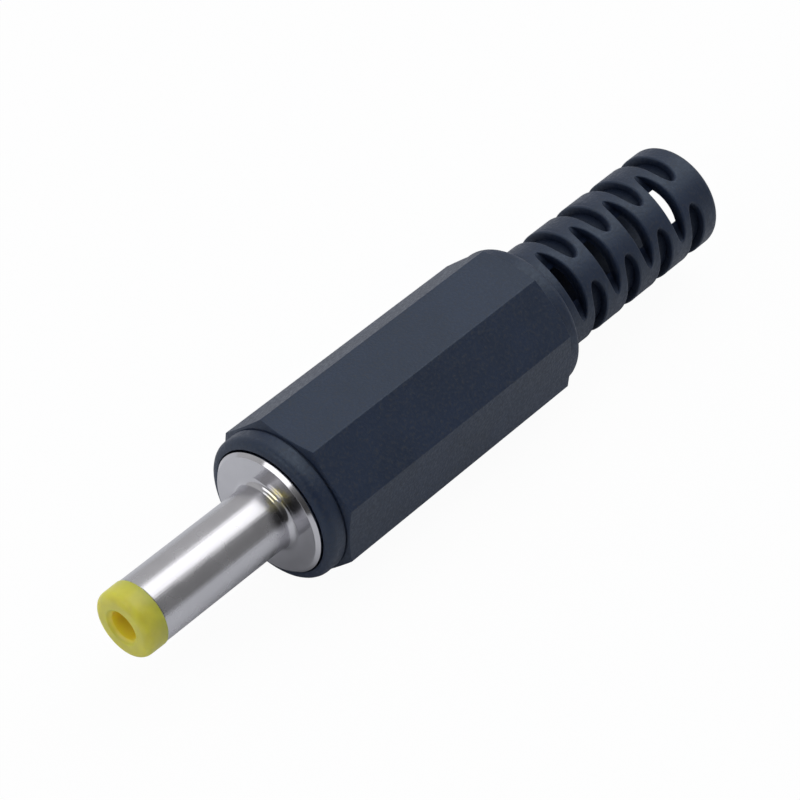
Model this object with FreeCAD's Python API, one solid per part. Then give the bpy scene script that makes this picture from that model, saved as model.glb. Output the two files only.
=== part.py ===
"""Round low-voltage power plug with a screw-on octagonal cover, in millimetres.

The plug lies along X with its tip towards +X. The origin is the centre of the flange's front face,
and +Z is the normal of the cover's top flat. The plug lies on the opposite flat.
"""

import FreeCAD
import Part
import math
import os

V = FreeCAD.Vector

# Barrel and shell, turned from one bar
barrel_d = 4.0
barrel_length = 9.53
barrel_wall = 0.4
root_radius = 0.38
flange_d = 7.65
flange_thickness = 1.0
flange_edge = 0.2
thread_d = 6.4
thread_length = 5.0
thread_relief_width = 0.5
thread_relief_depth = 0.3
thread_lead = 0.3
web_thickness = 1.4
web_hole_d = 2.3

# Yellow tip
tip_d = 4.09
tip_length = 1.45
tip_front_d = 4.06
tip_round = 0.45
tip_hole_d = 1.8
tip_mouth = 0.22
tip_tube_length = 4.0

# Centre contact
socket_d = 1.7
contact_wall = 0.35
contact_setback = 0.35
socket_floor = -0.6
slit_width = 0.22
slit_length = 3.6
tail_d = 1.5
rivet_head_d = 2.6
rivet_head_height = 0.4
rivet_round = 0.32

# Insulating bushes
front_bush_length = 2.0
washer_d = 4.2
washer_thickness = 0.7

# Stamped terminals
sheet = 0.4
fold_radius = 0.36
outer_ring_d = 5.6
arm_width = 2.4
arm_neck_width = 1.7
arm_length = 9.0
neck_length = 1.6
ear_length = 1.9
ear_turn = 104.0
ear_corner = 0.45
solder_hole_d = 1.0
centre_ring_d = 3.6
centre_lug_width = 1.8
centre_lug_length = 4.6

# Cover: collar, grip and strain relief, moulded in one
flange_stand = 0.3
collar_d = 8.96
collar_length = 1.16
collar_round = 0.5
notch_width = 0.14
notch_depth = 0.12
sides = 8
across_flats = 9.2
grip_end = -20.45
grip_edge = 0.12
grip_cone = 0.18
rear_collar_d = 9.06
rear_collar_length = 1.0
rear_collar_round = 0.35
thread_bore_length = 5.6
cavity_d = 6.2
cavity_end = -21.16
cavity_cone = 0.5
relief_d = 6.73
relief_end = -35.98
relief_lip = 0.36
relief_root = 0.45
cable_bore_d = 5.2

# Slots of the strain relief, as two mould halves that open along one line leave them
slot_rows = 8
slot_pitch = 1.54
slot_width = 1.12
first_slot_x = -23.25
draw_angle = 52.5
face_slot_length = 4.72
face_slot_floor = 2.34
side_web = 1.7
side_slot_nose = 1.3
side_slot_floor_d = 5.7

# Clearances
press_gap = 0.02
washer_gap = 0.05
thread_gap = 0.06
flange_gap = 0.08

# Sizes that follow from the ones above
barrel_r = barrel_d / 2
shell_bore_r = barrel_r - barrel_wall
flange_back = -flange_thickness
shank_end = flange_back - thread_length
web_front = shank_end + web_thickness
tip_front = barrel_length + tip_length
contact_r = socket_d / 2 + contact_wall
contact_front = barrel_length - contact_setback
front_bush_face = web_front + front_bush_length
terminal_back = shank_end - sheet
washer_back = terminal_back - washer_thickness
rivet_seat = washer_back - sheet
rivet_end = rivet_seat - rivet_head_height
cover_front = -flange_stand
collar_end = cover_front - collar_length
grip_start = collar_end - notch_width
relief_start = grip_end - rear_collar_length
corner_r = across_flats / 2 / math.cos(math.pi / sides)
relief_r = relief_d / 2
cable_bore_r = cable_bore_d / 2
arm_end = terminal_back - arm_length
arm_outer_r = washer_d / 2 + washer_gap + sheet
same = 1e-4


def turned(outline):
    """Solid of revolution about the X axis from (x, radius) corners."""
    corners = [V(x, 0, radius) for x, radius in outline]
    wire = Part.makePolygon(corners + corners[:1])
    return Part.Face(wire).revolve(V(0, 0, 0), V(1, 0, 0), 360)


def rod(radius, start, end):
    """Cylinder on the X axis between two stations."""
    return Part.makeCylinder(radius, abs(end - start), V(min(start, end), 0, 0), V(1, 0, 0))


def tube(outer_r, inner_r, start, end):
    """Round tube on the X axis between two stations."""
    return rod(outer_r, start, end).cut(rod(inner_r, start, end))


def rims(shape, x, radius):
    """The circular edges of a shape about the X axis at one station and radius."""
    found = []
    for edge in shape.Edges:
        curve = edge.Curve
        if not isinstance(curve, Part.Circle):
            continue
        if abs(curve.Center.x - x) < same and abs(curve.Radius - radius) < same:
            found.append(edge)
    return found


def shell():
    """Barrel, concave root, flange and threaded shank, with the stepped bore."""
    thread_r = thread_d / 2
    relief_floor = thread_r - thread_relief_depth
    body = turned([
        (barrel_length, 0),
        (barrel_length, barrel_r),
        (0, barrel_r),
        (0, flange_d / 2),
        (flange_back, flange_d / 2),
        (flange_back, relief_floor),
        (flange_back - thread_relief_width, relief_floor),
        (flange_back - thread_relief_width, thread_r),
        (shank_end, thread_r),
        (shank_end, 0),
    ])
    body = body.makeFillet(root_radius, rims(body, 0, barrel_r))
    body = body.makeChamfer(flange_edge, rims(body, 0, flange_d / 2))
    body = body.makeChamfer(thread_lead, rims(body, shank_end, thread_r))
    body = body.cut(rod(shell_bore_r, web_front, barrel_length))
    return body.cut(rod(web_hole_d / 2, shank_end, web_front))


def tip_insulator():
    """Yellow lip that ends the barrel, with its tube inside the barrel."""
    front_r = tip_front_d / 2
    hole_r = tip_hole_d / 2
    lip = turned([
        (barrel_length, 0),
        (barrel_length, tip_d / 2),
        (tip_front, front_r),
        (tip_front, 0),
    ])
    lip = lip.makeFillet(tip_round, rims(lip, tip_front, front_r))
    lip = lip.cut(rod(hole_r, barrel_length, tip_front))
    lip = lip.makeChamfer(tip_mouth, rims(lip, tip_front, hole_r))
    inner_r = contact_r + press_gap
    outer_r = shell_bore_r - press_gap
    return lip.fuse(tube(outer_r, inner_r, barrel_length - tip_tube_length, barrel_length)).removeSplitter()


def centre_contact():
    """Tubular socket with two crossing slits, a tail and the head riveted at its end."""
    body = turned([
        (contact_front, 0),
        (contact_front, contact_r),
        (front_bush_face, contact_r),
        (front_bush_face, tail_d / 2),
        (rivet_seat, tail_d / 2),
        (rivet_seat, rivet_head_d / 2),
        (rivet_end, rivet_head_d / 2),
        (rivet_end, 0),
    ])
    body = body.makeFillet(rivet_round, rims(body, rivet_end, rivet_head_d / 2))
    body = body.cut(rod(socket_d / 2, socket_floor, contact_front))
    body = body.makeChamfer(contact_wall / 2, rims(body, contact_front, socket_d / 2))
    for turn in (45, 135):
        slit = Part.makeBox(slit_length, 4 * contact_r, slit_width)
        slit.translate(V(contact_front - slit_length, -2 * contact_r, -slit_width / 2))
        slit.rotate(V(0, 0, 0), V(1, 0, 0), turn)
        body = body.cut(slit)
    return body


def front_bush():
    """Bush between the contact's shoulder and the shell's inner web."""
    return tube(shell_bore_r - press_gap, tail_d / 2 + press_gap, web_front, front_bush_face)


def rear_bush():
    """Washer behind the outer terminal, with a sleeve through the web's hole."""
    hole_r = tail_d / 2 + press_gap
    washer = tube(washer_d / 2, hole_r, washer_back, terminal_back)
    sleeve = tube(web_hole_d / 2 - press_gap, hole_r, terminal_back, web_front)
    return washer.fuse(sleeve).removeSplitter()


def lug(half_outline, low):
    """Flat sheet lug along X from the (x, half width) corners of one side, above one height."""
    near = [V(x, half, low) for x, half in half_outline]
    far = [V(x, -half, low) for x, half in reversed(half_outline)]
    wire = Part.makePolygon(near + far + near[:1])
    return Part.Face(wire).extrude(V(0, 0, sheet))


def creases(shape, x, z):
    """Straight edges along Y at one station and height, where a lug is folded."""
    found = []
    for edge in shape.Edges:
        box = edge.BoundBox
        at_x = abs(box.XMin - x) < same and box.XLength < same
        at_z = abs(box.ZMin - z) < same and box.ZLength < same
        if at_x and at_z:
            found.append(edge)
    return found


def solder_hole(x):
    """Upright cutter for a solder hole in a lug."""
    return Part.makeCylinder(solder_hole_d / 2, 4 * barrel_d, V(x, 0, -2 * barrel_d), V(0, 0, 1))


def outer_terminal():
    """Ring clamped behind the shell, an arm folded back from it, and two ears for the cable."""
    ring_r = outer_ring_d / 2
    ear_start = arm_end + ear_length
    neck_end = terminal_back - neck_length
    wide_start = neck_end - (arm_width - arm_neck_width)
    ring = tube(ring_r, web_hole_d / 2, terminal_back, shank_end)
    below = Part.makeBox(sheet, 2 * ring_r, ring_r, V(terminal_back, -ring_r, -arm_outer_r - ring_r))
    outline = [
        (shank_end, arm_neck_width / 2),
        (neck_end, arm_neck_width / 2),
        (wide_start, arm_width / 2),
        (ear_start, arm_width / 2),
    ]
    arm = lug(outline, -arm_outer_r).cut(solder_hole((wide_start + ear_start) / 2))
    body = ring.cut(below).fuse(arm).removeSplitter()
    body = body.makeFillet(fold_radius, creases(body, shank_end, -arm_outer_r))
    return body.fuse(ears(arm_outer_r, arm_end, ear_start)).removeSplitter()


def ears(outer_r, start, end):
    """Open gutter of sheet that is pressed round the cable, with its free corners rounded."""
    gutter = tube(outer_r, outer_r - sheet, start, end)
    gap = 360 - 2 * ear_turn
    reach = 2 * outer_r
    corners = [V(start, 0, 0), V(end, 0, 0), V(end, 0, reach), V(start, 0, reach)]
    pane = Part.Face(Part.makePolygon(corners + corners[:1]))
    pane.rotate(V(0, 0, 0), V(1, 0, 0), -gap / 2)
    gutter = gutter.cut(pane.revolve(V(0, 0, 0), V(1, 0, 0), gap))
    free_corners = []
    for edge in gutter.Edges:
        box = edge.BoundBox
        if abs(edge.Length - sheet) < same and box.XLength < same:
            free_corners.append(edge)
    return gutter.makeFillet(ear_corner, free_corners)


def centre_terminal():
    """Ring under the rivet head with a short round-ended solder lug folded back from it."""
    ring_r = centre_ring_d / 2
    low = ring_r - sheet
    half = centre_lug_width / 2
    nose_x = rivet_seat - centre_lug_length + half
    flat = lug([(washer_back, half), (nose_x, half)], low)
    nose = Part.makeCylinder(half, sheet, V(nose_x, 0, low), V(0, 0, 1))
    flat = flat.fuse(nose).cut(solder_hole(nose_x)).removeSplitter()
    flat = flat.makeFillet(fold_radius, creases(flat, washer_back, ring_r))
    ring = tube(ring_r, tail_d / 2 + press_gap, rivet_seat, washer_back)
    return ring.fuse(flat).removeSplitter()


def octagon(start, end):
    """Bar of equal flats on the X axis, with flats at the top and bottom."""
    corners = []
    for k in range(sides):
        angle = 2 * math.pi * (k + 0.5) / sides
        corners.append(V(start, corner_r * math.cos(angle), corner_r * math.sin(angle)))
    face = Part.Face(Part.makePolygon(corners + corners[:1]))
    return face.extrude(V(end - start, 0, 0))


def grip():
    """Octagonal bar with rounded edges, turned down to the collars at both ends."""
    bar = octagon(grip_start, grip_end)
    long_edges = [edge for edge in bar.Edges if abs(edge.Length - (grip_start - grip_end)) < same]
    bar = bar.makeFillet(grip_edge, long_edges)
    envelope = turned([
        (grip_start, 0),
        (grip_start, collar_d / 2),
        (grip_start - grip_cone, corner_r),
        (grip_end + grip_cone, corner_r),
        (grip_end, rear_collar_d / 2),
        (grip_end, 0),
    ])
    return bar.common(envelope)


def face_slot():
    """Oval cutter for the two slots of a row that face the mould halves, down to their flat floors."""
    oval = Part.Ellipse(V(0, 0, 0), face_slot_length / 2, slot_width / 2).toShape()
    face = Part.Face(Part.Wire(oval))
    face.rotate(V(0, 0, 0), V(0, 0, 1), 90)
    upper = face.translated(V(0, 0, face_slot_floor)).extrude(V(0, 0, relief_r))
    lower = face.translated(V(0, 0, -face_slot_floor)).extrude(V(0, 0, -relief_r))
    return [upper, lower]


def side_slot():
    """Round-nosed cutters for the two slots of a row that run down both sides, to a round floor."""
    half = slot_width / 2
    nose = side_web / 2 + side_slot_nose
    depth = 4 * relief_r
    core = rod(side_slot_floor_d / 2, -slot_width, slot_width)
    cutters = []
    for side in (1, -1):
        oval = Part.Face(Part.Wire(Part.Ellipse(V(0, 0, 0), side_slot_nose, half).toShape()))
        oval.rotate(V(0, 0, 0), V(0, 0, 1), 90)
        round_end = oval.translated(V(0, side * nose, -depth / 2)).extrude(V(0, 0, depth))
        low_y = min(side * nose, side * (nose + relief_r))
        straight = Part.makeBox(slot_width, relief_r, depth, V(-half, low_y, -depth / 2))
        cutters.append(round_end.fuse(straight).cut(core).removeSplitter())
    return cutters


def slots():
    """Every slot cutter. The rows alternate between slots in the faces and slots in the sides."""
    cutters = []
    for row in range(slot_rows):
        pair = side_slot() if row % 2 else face_slot()
        for cutter in pair:
            cutter.rotate(V(0, 0, 0), V(1, 0, 0), draw_angle - 90)
            cutter.translate(V(first_slot_x - slot_pitch * row, 0, 0))
            cutters.append(cutter)
    return cutters


def cover():
    """Collar, grip and slotted strain relief, with the stepped bore for the shell and the cable."""
    collar_r = collar_d / 2
    notch_r = collar_r - notch_depth
    collar = rod(collar_r, collar_end, cover_front)
    collar = collar.makeFillet(collar_round, rims(collar, cover_front, collar_r))
    neck = rod(notch_r, grip_start, collar_end)
    rear_r = rear_collar_d / 2
    relief = turned([
        (grip_end, 0),
        (grip_end, rear_r),
        (relief_start, rear_r),
        (relief_start, relief_r),
        (relief_end, relief_r),
        (relief_end, 0),
    ])
    relief = relief.makeFillet(relief_root, rims(relief, relief_start, relief_r))
    relief = relief.makeFillet(rear_collar_round, rims(relief, relief_start, rear_r))
    relief = relief.makeFillet(relief_lip, rims(relief, relief_end, relief_r))
    body = collar.fuse([neck, grip(), relief])
    seat_r = flange_d / 2 + flange_gap
    thread_r = thread_d / 2 + thread_gap
    thread_stop = flange_back - thread_bore_length
    cavity_r = cavity_d / 2
    inside = turned([
        (cover_front, 0),
        (cover_front, seat_r),
        (flange_back, seat_r),
        (flange_back, thread_r),
        (thread_stop, thread_r),
        (thread_stop, cavity_r),
        (cavity_end, cavity_r),
        (cavity_end - cavity_cone, cable_bore_r),
        (relief_end, cable_bore_r),
        (relief_end, 0),
    ])
    body = body.cut(inside)
    body = body.makeFillet(relief_lip, rims(body, relief_end, cable_bore_r))
    return body.cut(slots()).removeSplitter()


def main():
    """Builds every piece and writes one STEP file for each."""
    os.makedirs("parts", exist_ok=True)
    pieces = {
        "shell": shell(),
        "tip_insulator": tip_insulator(),
        "centre_contact": centre_contact(),
        "front_bush": front_bush(),
        "rear_bush": rear_bush(),
        "outer_terminal": outer_terminal(),
        "centre_terminal": centre_terminal(),
        "cover": cover(),
    }
    for name, shape in pieces.items():
        shape.exportStep("parts/" + name + ".step")
        print(name, shape.isValid(), len(shape.Solids), round(shape.Volume, 3), shape.BoundBox)


main()
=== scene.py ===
"""Dressed model of a round low-voltage power plug: polished shell, yellow tip, black octagonal cover.

The plug lies along X with its tip towards +X and rests on one flat of the cover. All places are in
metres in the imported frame, whose origin is the centre of the flange's front face.
"""

import math

import bmesh
import bpy
import numpy as np
from bpy.props import FloatProperty, FloatVectorProperty, IntProperty, PointerProperty
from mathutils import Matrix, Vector


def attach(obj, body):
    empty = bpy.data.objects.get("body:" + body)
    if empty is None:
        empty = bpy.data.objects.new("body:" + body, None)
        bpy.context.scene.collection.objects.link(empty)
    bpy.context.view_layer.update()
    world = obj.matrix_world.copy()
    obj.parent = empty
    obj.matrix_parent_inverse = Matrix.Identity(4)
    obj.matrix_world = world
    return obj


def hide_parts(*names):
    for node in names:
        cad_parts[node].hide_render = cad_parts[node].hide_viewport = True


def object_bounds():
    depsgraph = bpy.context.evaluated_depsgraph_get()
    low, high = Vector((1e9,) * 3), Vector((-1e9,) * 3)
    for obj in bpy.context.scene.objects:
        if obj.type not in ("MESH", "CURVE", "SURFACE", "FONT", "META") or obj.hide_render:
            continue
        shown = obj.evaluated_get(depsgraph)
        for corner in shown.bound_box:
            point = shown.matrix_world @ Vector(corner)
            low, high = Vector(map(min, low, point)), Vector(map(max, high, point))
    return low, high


bl_info = {
    "name": "Barrel plug",
    "version": (1, 0, 0),
    "blender": (4, 5, 0),
    "location": "3D View > Sidebar > Barrel plug",
    "description": "Builds the visible surfaces, finishes and studio of a low-voltage barrel plug",
    "category": "Add Mesh",
}

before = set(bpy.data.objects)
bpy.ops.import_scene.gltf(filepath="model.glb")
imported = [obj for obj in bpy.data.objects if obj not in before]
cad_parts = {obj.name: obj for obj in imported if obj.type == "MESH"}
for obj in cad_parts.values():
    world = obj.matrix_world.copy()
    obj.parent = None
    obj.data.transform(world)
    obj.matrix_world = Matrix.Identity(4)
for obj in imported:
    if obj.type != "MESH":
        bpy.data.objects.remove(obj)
cad_box = [list(corner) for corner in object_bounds()]

MM = 0.001
TURN = 2 * math.pi
SIDES = 8

# Points closer than this are merged, and edges sharper than this shade sharp
DOUBLES = 0.0005 * MM
SHARP = math.radians(40)

# Distance beside a rounding at which one more point keeps the flat next to it shading flat
HOLD = 0.02 * MM

# Points round a turned surface, along and across one slot's cell, and along one turn of a thread
ROUND_COLUMNS = 192
CELL_ALONG = 60
CELL_ACROSS = 8
THREAD_STEPS = 10

# Where the rings of a slot's cell lie: up its wall, round its mouth, and from there out over the
# skin and over the bore to the cell's border
WALL_SHARES = (0, 0.3, 0.65, 1)
MOUTH_TURNS = np.radians([18, 36, 54, 72, 90])
SKIN_SHARES = np.array([0.12, 0.28, 0.45, 0.63, 0.82, 1.0])[:, None]
BORE_SHARES = np.array([0, 0.12, 0.3, 0.5, 0.75, 1.0])[:, None]


def number(label, note, default, **kind):
    """A plain number, with a unit or subtype where one fits."""
    return FloatProperty(name=label, description=note, default=default, **kind)


def length(label, note, millimetres):
    """A size in metres whose default is given in millimetres."""
    return number(label, note, millimetres * MM, unit="LENGTH", precision=6)


def position(label, note, millimetres):
    """A place in metres whose default is given in millimetres."""
    default = tuple(value * MM for value in millimetres)
    return FloatVectorProperty(
        name=label, description=note, default=default, subtype="TRANSLATION", unit="LENGTH", precision=6
    )


def shade(label, note, rgb):
    """A linear colour."""
    return FloatVectorProperty(name=label, description=note, default=rgb, subtype="COLOR", size=3)


class ShellSizes(bpy.types.PropertyGroup):
    """Sizes of the turned metal shell."""

    barrel_front: length("Barrel front", "Station of the barrel's front rim", 9.53)
    barrel_radius: length("Barrel radius", "Outer radius of the barrel", 2.0)
    bore_radius: length("Bore radius", "Inner radius of the barrel", 1.6)
    rim_round: length("Rim rounding", "Radius on the barrel's front rim", 0.07)
    root_radius: length("Root radius", "Concave radius between barrel and flange", 0.38)
    flange_radius: length("Flange radius", "Outer radius of the flange", 3.825)
    flange_back: length("Flange back", "Station of the flange's rear face", -1.0)
    flange_chamfer: length("Flange chamfer", "Chamfer on the flange's front edge", 0.2)
    shank_end: length("Shank end", "Station of the shank's rear face", -6.0)
    web_front: length("Web front", "Station where the wide bore ends", -4.6)
    web_radius: length("Web hole radius", "Radius of the hole in the web", 1.15)
    thread_radius: length("Thread radius", "Outer radius of the threaded shank", 3.2)
    thread_pitch: length("Thread pitch", "Distance from one turn to the next", 0.5)
    thread_depth: length("Thread depth", "Depth of the thread's groove", 0.28)
    thread_fade: length("Thread fade", "Length over which the thread fades in and out", 0.25)
    undercut: length("Undercut", "Depth of the plain ends of the shank below its thread", 0.3)
    undercut_front: length("Front undercut", "Length of the plain stretch behind the flange", 0.5)
    undercut_back: length("Back undercut", "Length of the plain stretch at the shank's end", 0.3)
    edge_round: length("Edge rounding", "Radius on the turned edges", 0.04)


class TipSizes(bpy.types.PropertyGroup):
    """Sizes of the yellow tip."""

    front: length("Tip front", "Station of the tip's front face", 10.98)
    lip_radius: length("Lip radius", "Outer radius at the barrel", 2.045)
    front_radius: length("Front radius", "Outer radius at the front, before its rounding", 2.03)
    nose_round: length("Nose rounding", "Radius on the front edge", 0.45)
    heel_round: length("Heel rounding", "Radius on the edge that meets the barrel", 0.05)
    hole_radius: length("Hole radius", "Radius of the hole in the lip", 0.9)
    mouth_round: length("Mouth chamfer", "Chamfer round the hole's mouth", 0.22)
    tube_radius: length("Tube radius", "Outer radius of the tube inside the barrel", 1.58)
    tube_bore: length("Tube bore", "Inner radius of that tube", 1.22)
    tube_end: length("Tube end", "Station where the tube ends", 5.53)
    hole_edge: length("Hole edge", "Radius on both edges of the mouth's chamfer", 0.08)
    step_edge: length("Step edge", "Radius where the hole opens into the tube", 0.03)
    tube_edge: length("Tube edge", "Radius on the tube's rear edges", 0.05)


class GripSizes(bpy.types.PropertyGroup):
    """Sizes of the cover's collars and octagonal grip."""

    front: length("Cover front", "Station of the cover's front face", -0.3)
    seat_radius: length("Seat radius", "Radius of the recess round the flange", 3.905)
    seat_end: length("Seat end", "Station of the recess's floor", -1.0)
    collar_radius: length("Collar radius", "Outer radius of the front collar", 4.48)
    collar_round: length("Collar rounding", "Radius on the front collar's edge", 0.5)
    collar_end: length("Collar end", "Station where the notch begins", -1.46)
    notch_radius: length("Notch radius", "Radius of the notch's floor", 4.36)
    grip_start: length("Grip start", "Station where the grip begins", -1.6)
    cone: length("Grip cone", "Length of the cone at each end of the grip", 0.18)
    apothem: length("Half across flats", "Distance from the axis to each flat", 4.6)
    edge_round: length("Edge rounding", "Radius along the grip's eight edges", 0.12)
    grip_end: length("Grip end", "Station where the grip ends", -20.45)
    rear_radius: length("Rear collar radius", "Outer radius of the rear collar", 4.53)
    rear_round: length("Rear collar rounding", "Radius on the rear collar's edge", 0.35)
    rear_end: length("Rear collar end", "Station of the rear collar's face", -21.45)
    thread_bore: length("Thread bore", "Crest radius of the inner thread", 3.26)
    thread_depth: length("Thread depth", "Depth of the inner thread's groove", 0.24)
    thread_end: length("Thread end", "Station where the inner thread stops", -6.6)
    cavity_radius: length("Cavity radius", "Radius of the chamber for the wires", 3.1)
    cavity_end: length("Cavity end", "Station where the chamber starts to narrow", -21.16)
    cavity_cone: length("Cavity cone", "Length of the narrowing", 0.5)
    step_edge: length("Step edge", "Radius on the edges of the notch and at the cones' ends", 0.03)
    front_corner: length("Front corner", "Radius where the front cone meets the flats", 0.05)
    rear_corner: length("Rear corner", "Radius where the rear collar meets the cone", 0.02)
    seat_edge: length("Seat edge", "Radius on the rim of the recess round the flange", 0.04)


class ReliefSizes(bpy.types.PropertyGroup):
    """Sizes of the slotted strain relief."""

    radius: length("Relief radius", "Outer radius of the strain relief", 3.365)
    bore: length("Cable bore", "Radius of the hole for the cable", 2.6)
    end: length("Relief end", "Station of the rear rim", -35.98)
    lip_round: length("Lip rounding", "Radius on both edges of the rear rim", 0.36)
    root_round: length("Root rounding", "Concave radius at the rear collar", 0.45)
    slot_half: length("Half slot width", "Half the width of a slot", 0.56)
    face_reach: length("Face slot reach", "Half the length of an oval slot in a face", 2.36)
    face_floor: length("Face slot floor", "Distance from the axis to an oval slot's floor", 2.34)
    half_web: length("Half web", "Half the web between the slots of the two sides", 0.85)
    side_nose: length("Side slot nose", "Length of a side slot's oval nose", 1.3)
    side_floor: length("Side slot floor", "Radius of a side slot's round floor", 2.85)
    mouth_round: length("Mouth rounding", "Radius on the slots' outer edges", 0.11)
    pitch: length("Row pitch", "Distance between neighbouring rows", 1.54)
    first_row: length("First row", "Station of the first row of slots", -23.25)
    rows: IntProperty(name="Rows", description="Number of rows of slots", default=8)
    draw_angle: number(
        "Draw angle",
        "Angle of the mould halves' opening line from +Y towards +Z",
        math.radians(52.5),
        subtype="ANGLE",
    )


class PlugFinishes(bpy.types.PropertyGroup):
    """Colours, grain and marks of the plug's materials."""

    cover: shade("Cover", "Black moulding compound", (0.011, 0.019, 0.046))
    speck: shade("Speck", "Pale specks in the cover's moulding texture", (0.034, 0.036, 0.048))
    sheen: shade("Sheen", "Tint of the cover's reflections", (0.76, 0.9, 1.0))
    grain: length("Grain", "Spacing of the cover's moulding texture", 0.19)
    nickel: shade("Nickel", "Polished plating", (0.53, 0.525, 0.55))
    worn: shade("Worn plating", "Where the plating is thin at the barrel's root", (0.72, 0.66, 0.36))
    worn_place: position("Worn place", "Middle of the thin plating", (0.25, 1.2, 2.15))
    worn_reach: length("Worn reach", "How far the thin plating goes", 0.9)
    # Painted shade: a patch of darker plating at the barrel's root, in the crease by the flange
    root_shade_place: position("Stain place", "Middle of the dark stain at the barrel's root", (0.55, 1.7, 1.3))
    root_shade_reach: length("Stain reach", "How far the stain goes", 0.8)
    tip: shade("Tip", "Yellow moulding compound", (0.58, 0.557, 0.068))
    # Painted light: a brighter, warmer yellow painted on the hole's wall for light that comes through the lip
    # and bounces in the hole
    hole_glow: shade("Tip inside", "Yellow compound where light comes through it", (0.95, 0.80, 0.10))
    brass: shade("Brass", "Turned contact", (0.78, 0.58, 0.27))
    tin: shade("Tin", "Tinned sheet", (0.66, 0.65, 0.63))
    bush: shade("Bush", "Pressed phenolic", (0.16, 0.07, 0.035))


class StudioSettings(bpy.types.PropertyGroup):
    """Camera, lamps, floor and room."""

    lens: number("Lens", "Focal length in millimetres", 136.8)
    camera_place: position("Camera", "Where the camera stands", (81.66, 81.31, 116.69))
    camera_aim: position("Aim", "A point on the optical axis", (-11.37, -0.37, 0.22))
    camera_clip: length("Clip start", "Nearest distance that the camera sees", 10)
    floor_half: length("Floor", "Half the floor's side", 1500)
    paper: shade("Paper", "Colour of the floor", (0.84, 0.855, 0.89))
    floor_white: number("White", "Share of plain white that the camera sees", 0.96)
    box_place: position("Softbox place", "Middle of the overhead softbox", (-250, 0, 500))
    box_width: length("Softbox width", "Width of the overhead softbox", 460)
    box_depth: length("Softbox depth", "Depth of the overhead softbox", 700)
    box_power: number("Softbox power", "Power of the overhead softbox", 1.62, unit="POWER")
    front_place: position("Front box place", "Middle of the box before the tip", (390, -90, 300))
    front_width: length("Front box width", "Width of the box before the tip", 380)
    front_depth: length("Front box depth", "Depth of the box before the tip", 260)
    front_power: number("Front box power", "Power of the box before the tip", 0.6, unit="POWER")
    room_pale: number("Pale side", "Strength of the room behind the plug", 0.62)
    room_dark: number("Dark side", "Strength of the room on the camera's side", 0.26)
    room_end: number("Dark end", "Strength of the room behind the camera", 0.08)


# Mesh building


def turned_points(profile, angles):
    """Points of a surface of revolution: (x, r) at each station, carried round X by each angle.

    The profile has shape (stations, 2) or (stations, angles, 2). A point is (x, r cos a, r sin a).
    """
    if profile.ndim == 2:
        profile = np.repeat(profile[:, None, :], len(angles), axis=1)
    radius = profile[..., 1]
    return np.stack([profile[..., 0], radius * np.cos(angles), radius * np.sin(angles)], axis=-1)


def grid_quads(rows, columns, first=0, close_rows=False):
    """Corner numbers of the quads of a grid whose points are counted row by row, and whose rows are rings."""
    row, column = np.meshgrid(np.arange(rows if close_rows else rows - 1), np.arange(columns), indexing="ij")
    below, right = (row + 1) % rows * columns, (column + 1) % columns
    row = row * columns
    corners = np.stack([row + column, row + right, below + right, below + column], axis=-1)
    return first + corners.reshape(-1, 4)


def zip_rings(angles_a, angles_b):
    """Triangles between two rings of different spacing, as numbers into ring a and ring b after it.

    Both rings are walked in order of angle. Each step of one ring makes a triangle with the point
    that the other ring has reached.
    """
    count_a, count_b = len(angles_a), len(angles_b)
    reached_b = (np.searchsorted(angles_b, angles_a, side="left") - 1) % count_b
    reached_a = (np.searchsorted(angles_a, angles_b, side="right") - 1) % count_a
    a, b = np.arange(count_a), np.arange(count_b)
    steps_a = np.stack([(a - 1) % count_a, a, count_a + reached_b], axis=-1)
    steps_b = np.stack([count_a + b, count_a + (b - 1) % count_b, reached_a], axis=-1)
    return np.concatenate([steps_a, steps_b])


def rounded(corners, radii, steps=6, hold=HOLD):
    """Profile with rounded corners: each corner with a radius becomes an arc that touches both sides.

    Corners have shape (n, 2) or (n, columns, 2) and form a closed loop or an open line, whose ends have
    radius 0. With u and w the directions along both sides and h half the angle between them, the arc
    touches them at radius / tan h from the corner, and its centre lies radius / sin h from it. One more
    point stands just outside each end of an arc, by hold or by half of what is left of a shorter side.
    """
    corners = np.asarray(corners, float)
    if corners.ndim == 2:
        corners = corners[:, None, :]
    before, after = np.roll(corners, 1, axis=0), np.roll(corners, -1, axis=0)
    share = np.linspace(0, 1, steps + 1)[:, None, None]
    points = []
    for behind, corner, ahead, radius in zip(before, corners, after, radii):
        if radius == 0:
            points.append(corner[None])
            continue
        reach_behind = np.linalg.norm(behind - corner, axis=-1, keepdims=True)
        reach_ahead = np.linalg.norm(ahead - corner, axis=-1, keepdims=True)
        u, w = (behind - corner) / reach_behind, (ahead - corner) / reach_ahead
        half = np.arccos(np.clip((u * w).sum(-1, keepdims=True), -1, 1)) / 2
        touch = radius / np.tan(half)
        middle = u + w
        centre = corner + middle / np.linalg.norm(middle, axis=-1, keepdims=True) * radius / np.sin(half)
        start, finish = (corner + u * touch - centre) / radius, (corner + w * touch - centre) / radius
        sweep = math.pi - 2 * half
        arc = (np.sin((1 - share) * sweep) * start + np.sin(share * sweep) * finish) / np.sin(sweep)
        hold_behind = corner + u * np.minimum(touch + hold, (touch + reach_behind) / 2)
        hold_ahead = corner + w * np.minimum(touch + hold, (touch + reach_ahead) / 2)
        points.append(np.concatenate([hold_behind[None], centre + radius * arc, hold_ahead[None]]))
    points = np.concatenate(points)
    return points[:, 0] if points.shape[1] == 1 else points


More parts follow.
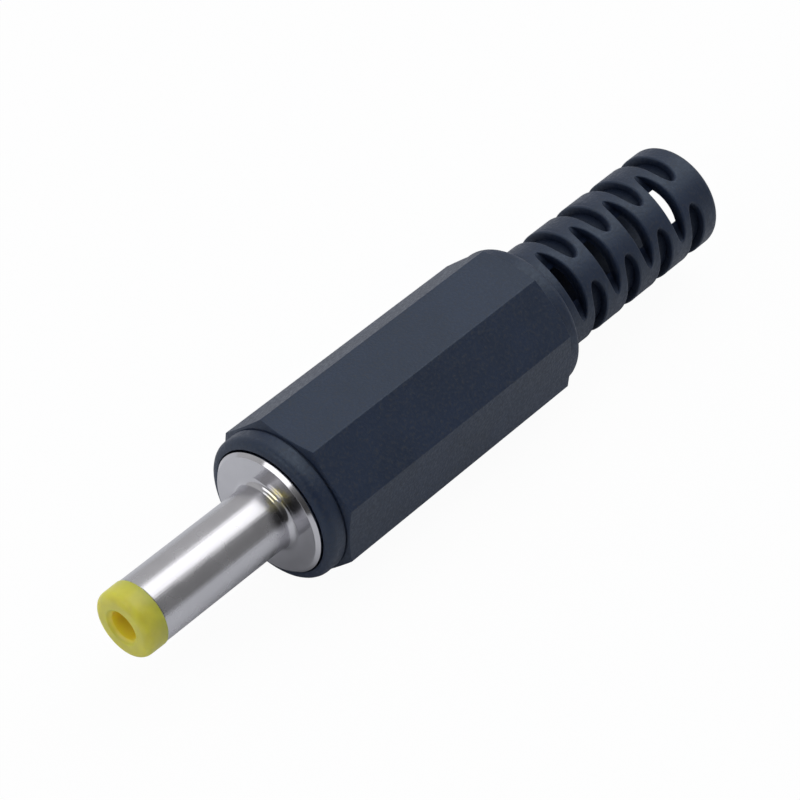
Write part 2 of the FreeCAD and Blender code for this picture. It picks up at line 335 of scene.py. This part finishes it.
def thread_line(start, end, radius, depth, pitch, fade, angles):
    """Profile of a screw thread for each angle, from one station to another.

    The radius is the crest radius minus the depth times a tooth wave of x / pitch - a / turn. The wave
    rises and falls straight, is cut flat at crest and groove, and fades in and out over a length at
    both ends. A negative depth cuts outwards.
    """
    steepness, crest = 2.5, 0.12
    stations = int(abs(end - start) / pitch * THREAD_STEPS) + 1
    x = np.linspace(start, end, stations)[:, None]
    phase = (x / pitch - angles / TURN) % 1
    tooth = np.clip(np.minimum(phase, 1 - phase) * steepness - crest, 0, 1)
    share = np.clip(np.minimum(abs(x - start), abs(x - end)) / fade, 0, 1)
    return np.stack([x + 0 * angles, radius - depth * tooth * share], axis=-1)


def make_piece(name, points, faces, body, replaces, material):
    """Mesh object from points and face lists, with doubles merged and its faces turned outwards."""
    mesh = bpy.data.meshes.new(name)
    mesh.from_pydata(points.reshape(-1, 3).tolist(), [], [f for part in faces for f in part.tolist()])
    work = bmesh.new()
    work.from_mesh(mesh)
    bmesh.ops.remove_doubles(work, verts=work.verts, dist=DOUBLES)
    bmesh.ops.recalc_face_normals(work, faces=work.faces)
    work.to_mesh(mesh)
    work.free()
    mesh.shade_smooth()
    mesh.set_sharp_from_angle(angle=SHARP)
    mesh.materials.append(material)
    piece = bpy.data.objects.new(name, mesh)
    bpy.context.scene.collection.objects.link(piece)
    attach(piece, body)
    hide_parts(*replaces)


# Materials


class Nodes:
    """Short calls to add nodes to a material's or a world's tree."""

    def __init__(self, owner):
        owner.use_nodes = True
        self.tree = owner.node_tree

    def add(self, kind, settings=None, sockets=None):
        """A node, with its settings and with values or links for its sockets, by name or number."""
        node = self.tree.nodes.new(kind)
        for key, value in (settings or {}).items():
            setattr(node, key, value)
        self.fill(node, sockets or {})
        return node

    def fill(self, node, sockets):
        """Values or links into a node's sockets."""
        for key, value in sockets.items():
            if isinstance(value, bpy.types.NodeSocket):
                self.tree.links.new(value, node.inputs[key])
            else:
                node.inputs[key].default_value = value

    def math(self, operation, first, second):
        """Two numbers joined by an operation."""
        return self.add("ShaderNodeMath", {"operation": operation}, {0: first, 1: second}).outputs[0]

    def vector(self, operation, first, second=(0, 0, 0)):
        """Two vectors joined by an operation that gives a number."""
        node = self.add("ShaderNodeVectorMath", {"operation": operation}, {0: first, 1: second})
        return node.outputs["Value"]


class Finish(Nodes):
    """A material with a Principled shader, and the patterns that its sockets are fed with."""

    def __init__(self, name, color, metallic=0.0):
        self.material = bpy.data.materials.new(name)
        super().__init__(self.material)
        self.coat({"Base Color": (*color, 1), "Metallic": metallic})
        self.place = self.add("ShaderNodeTexCoord").outputs["Object"]

    def coat(self, sockets):
        """Values or links into the shader's sockets."""
        self.fill(self.tree.nodes["Principled BSDF"], sockets)

    def noise(self, spacing, detail=2.0, stretch=(1, 1, 1), roughness=0.5):
        """Noise whose features are about one spacing apart, stretched along the axes."""
        place = self.add("ShaderNodeMapping", sockets={"Vector": self.place, "Scale": stretch})
        sockets = {"Scale": 1 / spacing, "Detail": detail, "Roughness": roughness}
        sockets["Vector"] = place.outputs["Vector"]
        return self.add("ShaderNodeTexNoise", sockets=sockets).outputs["Fac"]

    def ramp(self, value, low, high, start=0.35, end=0.65):
        """A value carried from one range to another."""
        sockets = {"Value": value, "From Min": start, "From Max": end, "To Min": low, "To Max": high}
        return self.add("ShaderNodeMapRange", sockets=sockets).outputs["Result"]

    def tint(self, value, low, high):
        """A colour mixed from two by a value. Sockets 6 and 7 of a Mix node are its two colours."""
        low, high = (end if isinstance(end, bpy.types.NodeSocket) else (*end, 1) for end in (low, high))
        node = self.add("ShaderNodeMix", {"data_type": "RGBA"}, {"Factor": value, 6: low, 7: high})
        return node.outputs[2]

    def mottle(self, pattern, color, darker, lighter):
        """A colour that a pattern makes darker or lighter by two factors."""
        return self.tint(self.ramp(pattern, 0, 1), scaled(color, darker), scaled(color, lighter))

    def near(self, place, reach):
        """1 up to 0.35 of a reach from a place, falling to 0 at the whole of it."""
        return self.ramp(self.vector("DISTANCE", self.place, place), 1, 0, reach * 0.35, reach)

    def from_axis(self):
        """Distance from the plug's axis."""
        flat = self.add("ShaderNodeVectorMath", {"operation": "MULTIPLY"}, {0: self.place, 1: (0, 1, 1)})
        return self.vector("LENGTH", flat.outputs["Vector"])

    def bump(self, height, depth):
        """Relief of one depth in metres from a height of 0 to 1."""
        node = self.add("ShaderNodeBump", sockets={"Height": height, "Distance": depth, "Strength": 1.0})
        self.coat({"Normal": node.outputs["Normal"]})


def scaled(color, factor):
    """A colour made lighter or darker."""
    return tuple(channel * factor for channel in color)


def black_moulding(finishes):
    """Black thermoplastic with a cool cast and the fine speckle of a spark-eroded mould.

    Between the bore's wall and the outer skin, so on the slots' walls and in the chamber, it is darker
    and reflects less: painted shade for the shade that falls inside the slots and the chamber.
    """
    bore_top, wall_low = 2.66 * MM, 2.8 * MM
    wall_high, skin = 2.9 * MM, 3.3 * MM
    finish = Finish("black_moulding", finishes.cover)
    grain = finish.noise(finishes.grain, detail=3.0, roughness=0.6)
    cloud = finish.noise(3.0 * MM)
    color = finish.mottle(cloud, finishes.cover, 0.92, 1.1)
    color = finish.tint(finish.ramp(grain, 0, 0.7, 0.5, 0.72), color, finishes.speck)
    reach = finish.from_axis()
    # Painted shade: below the skin the colour is darkened and the reflection weakened, for the shade inside
    # the slots and the chamber
    above_bore = finish.ramp(reach, 0, 1, bore_top, wall_low)
    painted_slot_shade = finish.ramp(reach, above_bore, 0, wall_high, skin)
    finish.coat({
        "Base Color": finish.tint(painted_slot_shade, color, scaled(finishes.cover, 0.5)),
        "Specular IOR Level": finish.ramp(reach, 0.18, 0.5, wall_high, skin),
        "Specular Tint": (*finishes.sheen, 1),
        "Roughness": finish.ramp(grain, 0.4, 0.6),
    })
    finish.bump(grain, 0.02 * MM)
    return finish.material


def polished_nickel(finishes):
    """Bright nickel plating: nearly a mirror on the flange, satin with fine draw lines along the barrel.

    At the barrel's root it is worn thin in spots, and beside that one patch is darkened as painted shade in
    the crease by the flange.
    """
    mirror, satin = 0.14, (0.24, 0.29)
    flange_side, barrel_side = 0.1 * MM, 0.6 * MM
    finish = Finish("polished_nickel", finishes.nickel, 1.0)
    lines = finish.noise(0.4 * MM, detail=3.0, stretch=(0.08, 4, 4))
    haze = finish.noise(1.4 * MM)
    along = finish.add("ShaderNodeSeparateXYZ", sockets={0: finish.place}).outputs["X"]
    barrel = finish.ramp(along, 0, 1, flange_side, barrel_side)
    color = finish.mottle(haze, finishes.nickel, 0.97, 1.02)
    spots = finish.ramp(finish.noise(0.45 * MM, detail=3.0), 0, 1, 0.42, 0.56)
    worn = finish.math("MULTIPLY", finish.near(finishes.worn_place, finishes.worn_reach), spots)
    color = finish.tint(worn, color, finishes.worn)
    # Painted shade: the plating is darkened near one place at the barrel's root, in the crease by the flange
    root_shade = finish.near(finishes.root_shade_place, finishes.root_shade_reach)
    finish.coat({
        "Base Color": finish.tint(root_shade, color, scaled(finishes.nickel, 0.4)),
        "Roughness": finish.ramp(barrel, mirror, finish.ramp(haze, *satin), 0, 1),
    })
    finish.bump(finish.ramp(lines, 0, barrel), 0.0018 * MM)
    return finish.material


def yellow_moulding(finishes):
    """Soft yellow thermoplastic that lets a little light in, with painted light in its hole: a brighter,
    warmer yellow on the hole's wall.
    """
    inside, outside = 0.86 * MM, 1.05 * MM
    finish = Finish("yellow_moulding", finishes.tip)
    cloud = finish.noise(0.8 * MM, detail=3.0)
    color = finish.mottle(cloud, finishes.tip, 0.94, 1.06)
    # Painted light: inside the hole the colour turns brighter and warmer, for the light that bounces there
    in_hole = finish.ramp(finish.from_axis(), 1, 0, inside, outside)
    finish.coat({
        "Base Color": finish.tint(in_hole, color, finishes.hole_glow),
        "Roughness": finish.ramp(cloud, 0.33, 0.43),
        "Subsurface Weight": 1.0,
        "Subsurface Radius": (1.0, 0.8, 0.15),
        "Subsurface Scale": 1.5 * MM,
    })
    finish.bump(finish.noise(0.12 * MM), 0.002 * MM)
    return finish.material


def turned_brass(finishes):
    """Turned brass with fine marks round the axis."""
    finish = Finish("turned_brass", finishes.brass, 1.0)
    marks = finish.noise(0.3 * MM, detail=3.0, stretch=(8, 0.4, 0.4))
    color = finish.mottle(marks, finishes.brass, 0.88, 1.05)
    finish.coat({"Base Color": color, "Roughness": finish.ramp(marks, 0.2, 0.34)})
    finish.bump(marks, 0.002 * MM)
    return finish.material


def tinned_sheet(finishes):
    """Pressed sheet with a soft, slightly uneven tin coat."""
    finish = Finish("tinned_sheet", finishes.tin, 1.0)
    cloud = finish.noise(0.5 * MM, detail=4.0)
    color = finish.mottle(cloud, finishes.tin, 0.9, 1.04)
    finish.coat({"Base Color": color, "Roughness": finish.ramp(cloud, 0.24, 0.42)})
    finish.bump(cloud, 0.004 * MM)
    return finish.material


def pressed_phenolic(finishes):
    """Brown phenolic with a faint mottle."""
    finish = Finish("pressed_phenolic", finishes.bush)
    cloud = finish.noise(0.35 * MM, detail=4.0)
    color = finish.mottle(cloud, finishes.bush, 0.75, 1.2)
    finish.coat({"Base Color": color, "Roughness": finish.ramp(cloud, 0.4, 0.55)})
    finish.bump(cloud, 0.003 * MM)
    return finish.material


# Shapes


def even_angles(count):
    """Angles evenly spaced round the axis, from 0."""
    return np.arange(count) * TURN / count


def shell_surface(sizes):
    """Points and faces of the shell: one closed profile, with a thread on its shank, turned round X.

    The thread is put into the rounded profile after the corner where the front undercut ends.
    """
    angles = even_angles(ROUND_COLUMNS)
    edge = sizes.edge_round
    undercut = sizes.thread_radius - sizes.undercut
    thread_start = sizes.flange_back - sizes.undercut_front
    thread_end = sizes.shank_end + sizes.undercut_back
    front = [
        (sizes.barrel_front, sizes.bore_radius, edge),
        (sizes.barrel_front, sizes.barrel_radius, sizes.rim_round),
        (0, sizes.barrel_radius, sizes.root_radius),
        (0, sizes.flange_radius - sizes.flange_chamfer, edge),
        (-sizes.flange_chamfer, sizes.flange_radius, edge),
        (sizes.flange_back, sizes.flange_radius, edge),
        (sizes.flange_back, undercut, edge),
        (thread_start, undercut, 0),
    ]
    back = [
        (sizes.shank_end, undercut, edge),
        (sizes.shank_end, sizes.web_radius, edge),
        (sizes.web_front, sizes.web_radius, 0),
        (sizes.web_front, sizes.bore_radius, 0),
    ]
    loop = np.array(front + back)
    line = rounded(loop[:, :2], loop[:, 2])
    split = int(np.argmin(np.abs(line - loop[len(front) - 1, :2]).sum(-1))) + 1
    around = np.repeat(line[:, None, :], len(angles), axis=1)
    thread = thread_line(
        thread_start, thread_end, sizes.thread_radius, sizes.thread_depth,
        sizes.thread_pitch, sizes.thread_fade, angles,
    )
    profile = np.concatenate([around[:split], thread, around[split:]])
    return turned_points(profile, angles), [grid_quads(len(profile), len(angles), close_rows=True)]


def tip_surface(tip, barrel_front):
    """Points and faces of the tip: a lip with a rounded nose and a tube inside the barrel, turned round X."""
    angles = even_angles(ROUND_COLUMNS // 2)
    loop = np.array([
        (barrel_front, tip.lip_radius, tip.heel_round),
        (tip.front, tip.front_radius, tip.nose_round),
        (tip.front, tip.hole_radius + tip.mouth_round, tip.hole_edge),
        (tip.front - tip.mouth_round, tip.hole_radius, tip.hole_edge),
        (barrel_front, tip.hole_radius, tip.step_edge),
        (barrel_front, tip.tube_bore, 0),
        (tip.tube_end, tip.tube_bore, tip.tube_edge),
        (tip.tube_end, tip.tube_radius, tip.tube_edge),
        (barrel_front, tip.tube_radius, 0),
    ])
    line = rounded(loop[:, :2], loop[:, 2], steps=8)
    return turned_points(line, angles), [grid_quads(len(line), len(angles), close_rows=True)]


def grip_angles(apothem, edge):
    """Angles round the grip, close together across each rounded edge, and the grip's radius at each.

    On a flat the radius is apothem / cos(a). Near an edge it is the far crossing of the ray with a
    circle of the edge's radius, whose centre lies on the line through the edge.
    """
    edge_points, flat_points = 7, 13
    # Angles from the end of a rounded edge to the point beside it and to the flat's other points
    beside, inset = 0.006, 0.02
    half = TURN / SIDES / 2
    centre = (apothem - edge) / math.cos(half)
    turn = math.atan2(edge * math.sin(half), centre + edge * math.cos(half))
    from_edge = np.sort(np.concatenate([
        np.linspace(-1, 1, edge_points) * turn,
        [-turn - beside, turn + beside],
        np.linspace(turn + inset, 2 * half - turn - inset, flat_points),
    ]))
    angles = np.concatenate([half + k * TURN / SIDES + from_edge for k in range(SIDES)]) % TURN
    offset = np.tile(from_edge, SIDES)
    arc = centre * np.cos(offset) + np.sqrt(np.maximum(edge ** 2 - (centre * np.sin(offset)) ** 2, 0))
    flat = apothem / np.cos(np.where(offset < 0, offset + half, offset - half))
    radius = np.where(np.abs(offset) <= turn, arc, flat)
    order = np.argsort(angles)
    return angles[order], radius[order]


def grip_profiles(grip, relief, shell, angles, flats):
    """Profile of the collars and grip at each angle, outside and inside, from the relief forwards and back.

    The grip's surface follows the flats' radius at that angle. Both cones are straight lines in the
    profile, so where they meet the flats depends on the angle, and the corner there is rounded. All
    profiles start and end 0.7 of a pitch before the first row of slots.
    """
    columns = len(angles)
    join = relief.first_row + 0.7 * relief.pitch
    edge_radius = flats.max()
    front_x = grip.grip_start - grip.cone * (flats - grip.collar_radius) / (edge_radius - grip.collar_radius)
    rear_x = grip.grip_end + grip.cone * (flats - grip.rear_radius) / (edge_radius - grip.rear_radius)
    corners = [
        (join, relief.radius, 0),
        (grip.rear_end, relief.radius, relief.root_round),
        (grip.rear_end, grip.rear_radius, grip.rear_round),
        (grip.grip_end, grip.rear_radius, grip.rear_corner),
        (rear_x, flats, grip.step_edge),
        (front_x, flats, grip.front_corner),
        (grip.grip_start, grip.collar_radius, grip.step_edge),
        (grip.grip_start, grip.notch_radius, grip.step_edge),
        (grip.collar_end, grip.notch_radius, grip.step_edge),
        (grip.collar_end, grip.collar_radius, grip.step_edge),
        (grip.front, grip.collar_radius, grip.collar_round),
        (grip.front, grip.seat_radius, grip.seat_edge),
        (grip.seat_end, grip.seat_radius, 0),
        (grip.seat_end, grip.thread_bore, 0),
    ]
    outer = np.array([[x + np.zeros(columns), r + np.zeros(columns)] for x, r, _ in corners])
    outer = rounded(outer.transpose(0, 2, 1), [radius for _, _, radius in corners], hold=HOLD / 2)
    thread = thread_line(
        grip.seat_end, grip.thread_end, grip.thread_bore, -grip.thread_depth,
        shell.thread_pitch, shell.thread_fade, angles,
    )
    inside = [
        (grip.thread_end, grip.cavity_radius),
        (grip.cavity_end, grip.cavity_radius),
        (grip.cavity_end - grip.cavity_cone, relief.bore),
        (join, relief.bore),
    ]
    inner = np.array([[[x, r]] * columns for x, r in inside])
    return np.concatenate([outer, thread, inner])


def cell_border():
    """Where the points round one cell lie, as shares along and across it from -1 to 1.

    A cell is half a turn long and one row pitch wide. Its points go along one long side, over one
    end, back along the other long side and over the other end.
    """
    s = np.linspace(-1, 1, CELL_ALONG + 1)[:-1]
    e = np.linspace(1, -1, CELL_ACROSS + 1)[:-1]
    along = np.concatenate([s, 1 + 0 * e, -s, -1 + 0 * e])
    across = np.concatenate([1 + 0 * s, e, -1 + 0 * s, -e])
    return along, across


def height_at(radius, place):
    """Height of a circle of one radius above a place on its diameter."""
    return np.sqrt(np.maximum(radius ** 2 - place ** 2, 0))


def face_slot(relief, along, across):
    """Oval slot in a face: its ring at any radius, its lowest radius, its middle, its hole in the bore.

    In plan the slot is the ellipse x = half cos a, w = reach sin a, and its walls are upright. The
    cell's long sides take the ellipse up to a = 70 degrees and its ends take the rest. The floor is
    flat at one height, and the bore opens through it where w is small.
    """
    cap = math.radians(70)
    spread = math.pi / 2 - cap
    side = abs(across) == 1
    x = relief.slot_half * np.where(side, across * np.cos(cap * along), np.sin(spread * across))
    w = relief.face_reach * np.where(side, np.sin(cap * along), along * np.cos(spread * across))
    slope_x, slope_w = x / relief.slot_half ** 2, w / relief.face_reach ** 2
    steep = np.hypot(slope_x, slope_w)

    def ring(radius, gap):
        """Places (x, w, h) on the wall at one radius, moved out from it by a gap in plan."""
        out_w = w + gap * slope_w / steep
        lowest = np.minimum(relief.face_floor, height_at(relief.radius, out_w))
        h = np.maximum(height_at(radius, out_w), lowest)
        return np.stack([x + gap * slope_x / steep, out_w, h], axis=-1)

    window = height_at(relief.bore, relief.face_floor)
    rim_w = np.clip(w, -window, window)
    rim_h = height_at(relief.bore, rim_w)
    return ring, relief.bore, np.stack([x, rim_w, rim_h], axis=-1), (x, np.arctan2(rim_w, rim_h))


def side_slot(relief, along, across):
    """Slot down one side: its ring at any radius, its lowest radius, its middle, a spine for the bore.

    In plan the slot starts with the half ellipse x = half sin a, h = middle - nose cos a, and runs
    straight from there outwards at x = half and x = -half. Its walls run along w down to a round
    floor, so the bore stays whole behind it. The straight takes 0.6 of the cell's long side, and the
    cell's ends take the last 25 degrees of the nose.
    """
    straight, tip, spine = 0.6, math.radians(25), 0.95
    middle = relief.half_web + relief.side_nose
    share = abs(along) / straight
    fall = np.clip((abs(along) - straight) / (1 - straight), 0, 1)
    a = across * (math.pi / 2 - fall * (math.pi / 2 - tip))
    x, nose = relief.slot_half * np.sin(a), middle - relief.side_nose * np.cos(a)
    slope_x, slope_h = x / relief.slot_half ** 2, (nose - middle) / relief.side_nose ** 2
    steep = np.hypot(slope_x, slope_h)

    def ring(radius, gap):
        """Places (x, w, h) on the wall at one radius, moved out from it by a gap in plan."""
        h = np.where(share < 1, radius * np.cos(math.acos(middle / radius) * share), nose)
        h = h + gap * slope_h / steep
        return np.stack([x + gap * slope_x / steep, np.sign(along) * height_at(radius, h), h], axis=-1)

    floor = relief.side_floor
    return ring, floor, ring(floor, 0) * (0, 1, 1), (0 * x, along * math.pi / 2 * spine)


def slot_cell(relief, slot):
    """Grid round one slot: rings from its middle over its floor, up its wall and out to the cell's border.

    Places are (x, w, h) with h along the radius through the cell's middle. The mouth is rounded by
    the quarter circle radius = R - edge (1 - sin a), gap = edge (1 - cos a). Gives the outer rings
    and the rings of the bore's wall.
    """
    along, across = cell_border()
    border_x, border_a = across * relief.pitch / 2, along * math.pi / 2
    ring, base, centre, (hole_x, hole_a) = slot(relief, along, across)
    edge = relief.mouth_round
    spring = relief.radius - edge
    wall = [ring(base + (spring - base) * share, 0) for share in WALL_SHARES]
    mouth = [ring(spring + edge * math.sin(a), edge * (1 - math.cos(a))) for a in MOUTH_TURNS]
    skin = ring(relief.radius, edge + HOLD)
    skin_x, skin_a = skin[:, 0], np.arctan2(skin[:, 1], skin[:, 2])

    def outwards(radius, x, a, shares):
        """Rings on a cylinder round X, from a line (x, a) on it out to the cell's border."""
        x, a = x + (border_x - x) * shares, a + (border_a - a) * shares
        return np.stack([x, radius * np.sin(a), radius * np.cos(a)], axis=-1)

    far = outwards(relief.radius, skin_x, skin_a, SKIN_SHARES)
    outer = np.concatenate([[centre, (centre + wall[0]) / 2, *wall, *mouth, skin], far])
    return outer, outwards(relief.bore, hole_x, hole_a, BORE_SHARES)


def relief_surface(relief, first):
    """Points and faces of the slotted stretch: two cells in each row, a quarter turn on from row to row.

    The faces' corner numbers start from first.
    """
    cells = [slot_cell(relief, face_slot), slot_cell(relief, side_slot)]
    points, faces = [], []
    for row in range(relief.rows):
        outer, bore = cells[row % 2]
        rings = np.concatenate([outer, bore])
        count = rings.shape[1]
        for turn in relief.draw_angle + math.pi / 2 * (row % 2) + np.array([0, math.pi]):
            x = relief.first_row - relief.pitch * row + rings[..., 0]
            y = rings[..., 2] * math.cos(turn) - rings[..., 1] * math.sin(turn)
            z = rings[..., 2] * math.sin(turn) + rings[..., 1] * math.cos(turn)
            start = first + len(points) * rings.shape[0] * count
            points.append(np.stack([x, y, z], axis=-1).reshape(-1, 3))
            faces.append(grid_quads(len(outer), count, start))
            faces.append(grid_quads(len(bore), count, start + len(outer) * count))
    return np.concatenate(points), faces


def cover_surface(grip, relief, shell):
    """Points and faces of the whole cover: grip, slotted relief and rear rim, joined at their rings."""
    angles, flats = grip_angles(grip.apothem, grip.edge_round)
    profile = grip_profiles(grip, relief, shell, angles, flats)
    columns = len(angles)
    points = [turned_points(profile, angles).reshape(-1, 3)]
    faces = [grid_quads(len(profile), columns)]
    total = len(points[0])
    slotted, slot_faces = relief_surface(relief, total)
    points.append(slotted)
    faces += slot_faces
    total += len(slotted)
    ring = np.sort((even_angles(2 * CELL_ALONG) + relief.draw_angle) % TURN)
    border = relief.first_row + relief.pitch / 2
    for radius, row in ((relief.radius, 0), (relief.bore, len(profile) - 1)):
        points.append(turned_points(np.array([[border, radius]]), ring).reshape(-1, 3))
        pairs = zip_rings(angles, ring)
        faces.append(np.where(pairs < columns, pairs + row * columns, pairs - columns + total))
        total += len(ring)
    back = relief.first_row - relief.pitch * (relief.rows - 0.5)
    lip = np.array([
        (back, relief.radius, 0),
        (relief.end, relief.radius, relief.lip_round),
        (relief.end, relief.bore, relief.lip_round),
        (back, relief.bore, 0),
    ])
    line = rounded(lip[:, :2], lip[:, 2], steps=10)
    points.append(turned_points(line, ring).reshape(-1, 3))
    faces.append(grid_quads(len(line), len(ring), total))
    return np.concatenate(points), faces


# Operators


class PLUG_OT_shell(bpy.types.Operator):
    """Build the polished shell with its flange, root and threaded shank."""

    bl_idname = "plug.shell"
    bl_label = "Shell"

    def execute(self, context):
        """Turn the shell's profile and plate it."""
        scene = context.scene
        points, faces = shell_surface(scene.plug_shell)
        nickel = polished_nickel(scene.plug_finishes)
        make_piece("polished_shell", points, faces, "plug", ["shell"], nickel)
        return {"FINISHED"}


class PLUG_OT_tip(bpy.types.Operator):
    """Build the yellow tip that insulates the barrel's end."""

    bl_idname = "plug.tip"
    bl_label = "Tip"

    def execute(self, context):
        """Turn the tip's profile and colour it."""
        scene = context.scene
        points, faces = tip_surface(scene.plug_tip, scene.plug_shell.barrel_front)
        yellow = yellow_moulding(scene.plug_finishes)
        make_piece("yellow_tip", points, faces, "plug", ["tip_insulator"], yellow)
        return {"FINISHED"}


class PLUG_OT_cover(bpy.types.Operator):
    """Build the black cover with its collar, octagonal grip and slotted strain relief."""

    bl_idname = "plug.cover"
    bl_label = "Cover"

    def execute(self, context):
        """Join the grip, the slotted stretch and the rear rim in one closed skin."""
        scene = context.scene
        points, faces = cover_surface(scene.plug_grip, scene.plug_relief, scene.plug_shell)
        black = black_moulding(scene.plug_finishes)
        make_piece("octagonal_cover", points, faces, "cover", ["cover"], black)
        return {"FINISHED"}


class PLUG_OT_inner_pieces(bpy.types.Operator):
    """Finish the contact, bushes and terminals inside the cover."""

    bl_idname = "plug.inner_pieces"
    bl_label = "Inner pieces"

    def execute(self, context):
        """Give each inner piece its own metal or plastic."""
        finishes = context.scene.plug_finishes
        wanted = {
            turned_brass: ("centre_contact",),
            pressed_phenolic: ("front_bush", "rear_bush"),
            tinned_sheet: ("outer_terminal", "centre_terminal"),
        }
        for finish, names in wanted.items():
            material = finish(finishes)
            for name in names:
                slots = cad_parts[name].data.materials
                slots.clear()
                slots.append(material)
        return {"FINISHED"}


class PLUG_OT_studio(bpy.types.Operator):
    """Set up the floor, the lamps and the camera."""

    bl_idname = "plug.studio"
    bl_label = "Studio"

    def execute(self, context):
        """Lay the floor under the cover's flat and aim the camera and the lamps."""
        scene = context.scene
        studio = scene.plug_studio
        add_floor(scene, studio, height=cad_box[0][2])
        boxes = {
            "softbox": (studio.box_place, studio.box_width, studio.box_depth, studio.box_power),
            "front_box": (studio.front_place, studio.front_width, studio.front_depth, studio.front_power),
        }
        for name, settings in boxes.items():
            add_box(scene, name, *settings)
        scene.world = grey_room(studio)
        lens = bpy.data.cameras.new("camera")
        lens.lens = studio.lens
        lens.clip_start = studio.camera_clip
        scene.camera = add_aimed(scene, "camera", lens, studio.camera_place, Vector(studio.camera_aim))
        scene.view_settings.view_transform = "Standard"
        return {"FINISHED"}


def add_aimed(scene, name, data, place, target):
    """A camera or lamp at a place, looking at a target, upright."""
    thing = bpy.data.objects.new(name, data)
    thing.location = place
    thing.rotation_euler = (target - thing.location).to_track_quat("-Z", "Y").to_euler()
    scene.collection.objects.link(thing)
    return thing


def add_box(scene, name, place, width, depth, power):
    """A soft box of one size in metres and power in watts, aimed at the plug."""
    lamp = bpy.data.lights.new(name, "AREA")
    lamp.shape = "RECTANGLE"
    lamp.size = width
    lamp.size_y = depth
    lamp.energy = power
    add_aimed(scene, name, lamp, place, Vector((0, 0, 0)))


def add_floor(scene, studio, height):
    """Plain square floor at one height."""
    half = studio.floor_half
    mesh = bpy.data.meshes.new("floor")
    corners = [(-half, -half, height), (half, -half, height), (half, half, height), (-half, half, height)]
    mesh.from_pydata(corners, [], [(0, 1, 2, 3)])
    mesh.materials.append(pale_paper(studio))
    floor = bpy.data.objects.new("floor", mesh)
    scene.collection.objects.link(floor)


def pale_paper(studio):
    """Pale paper that keeps the plug's shadow. The camera sees it as nearly white."""
    material = bpy.data.materials.new("pale_floor")
    nodes = Nodes(material)
    nodes.tree.nodes.clear()
    path = nodes.add("ShaderNodeLightPath").outputs
    seen = nodes.math("MULTIPLY", path["Is Camera Ray"], studio.floor_white)
    clear = nodes.math("MAXIMUM", seen, path["Is Transmission Ray"])
    paper = nodes.add("ShaderNodeBsdfDiffuse", sockets={"Color": (*studio.paper, 1)})
    white = nodes.add("ShaderNodeEmission")
    mix = nodes.add("ShaderNodeMixShader", sockets={0: clear, 1: paper.outputs[0], 2: white.outputs[0]})
    nodes.add("ShaderNodeOutputMaterial", sockets={"Surface": mix.outputs[0]})
    return material


def grey_room(studio):
    """Grey room that is pale behind the plug and darkens towards the camera, which sees it as white.

    Its grey follows the share 0.25 x + 0.5 y + 0.5 of the direction, from pale at 0.21 over dark
    between 0.64 and 0.8 to the dark end at 0.97.
    """
    stops = (
        (0.21, studio.room_pale),
        (0.64, studio.room_dark),
        (0.8, studio.room_dark),
        (0.97, studio.room_end),
    )
    world = bpy.data.worlds.new("room")
    nodes = Nodes(world)
    way = nodes.add("ShaderNodeTexCoord").outputs["Generated"]
    share = nodes.math("ADD", nodes.vector("DOT_PRODUCT", way, (0.25, 0.5, 0)), 0.5)
    ramp = nodes.add("ShaderNodeValToRGB", sockets={"Fac": share})
    ramp.color_ramp.interpolation = "EASE"
    for _ in stops[2:]:
        ramp.color_ramp.elements.new(1)
    for stop, (place, grey) in zip(ramp.color_ramp.elements, stops):
        stop.position = place
        stop.color = (grey, grey, grey, 1)
    camera_ray = nodes.add("ShaderNodeLightPath").outputs["Is Camera Ray"]
    seen = nodes.math("MAXIMUM", ramp.outputs["Color"], camera_ray)
    nodes.fill(nodes.tree.nodes["Background"], {"Color": seen, "Strength": 1})
    return world


class PLUG_PT_panel(bpy.types.Panel):
    """Lists the operators of the plug in the sidebar."""

    bl_label = "Barrel plug"
    bl_space_type = "VIEW_3D"
    bl_region_type = "UI"
    bl_category = "Barrel plug"

    def draw(self, context):
        """One button for each operator."""
        for operator in OPERATORS:
            self.layout.operator(operator.bl_idname)


GROUPS = {
    "plug_shell": ShellSizes,
    "plug_tip": TipSizes,
    "plug_grip": GripSizes,
    "plug_relief": ReliefSizes,
    "plug_finishes": PlugFinishes,
    "plug_studio": StudioSettings,
}
OPERATORS = (PLUG_OT_shell, PLUG_OT_tip, PLUG_OT_cover, PLUG_OT_inner_pieces, PLUG_OT_studio)
CLASSES = (*GROUPS.values(), *OPERATORS, PLUG_PT_panel)


def register():
    """Adds the classes and gives the scene one group of settings for each subject."""
    for item in CLASSES:
        bpy.utils.register_class(item)
    for name, group in GROUPS.items():
        setattr(bpy.types.Scene, name, PointerProperty(type=group))


def unregister():
    """Takes away what register added."""
    for name in GROUPS:
        delattr(bpy.types.Scene, name)
    for item in reversed(CLASSES):
        bpy.utils.unregister_class(item)


def main():
    """Builds every piece in order."""
    register()
    bpy.ops.plug.shell()
    bpy.ops.plug.tip()
    bpy.ops.plug.cover()
    bpy.ops.plug.inner_pieces()
    bpy.ops.plug.studio()


if __name__ == "__main__":
    main()
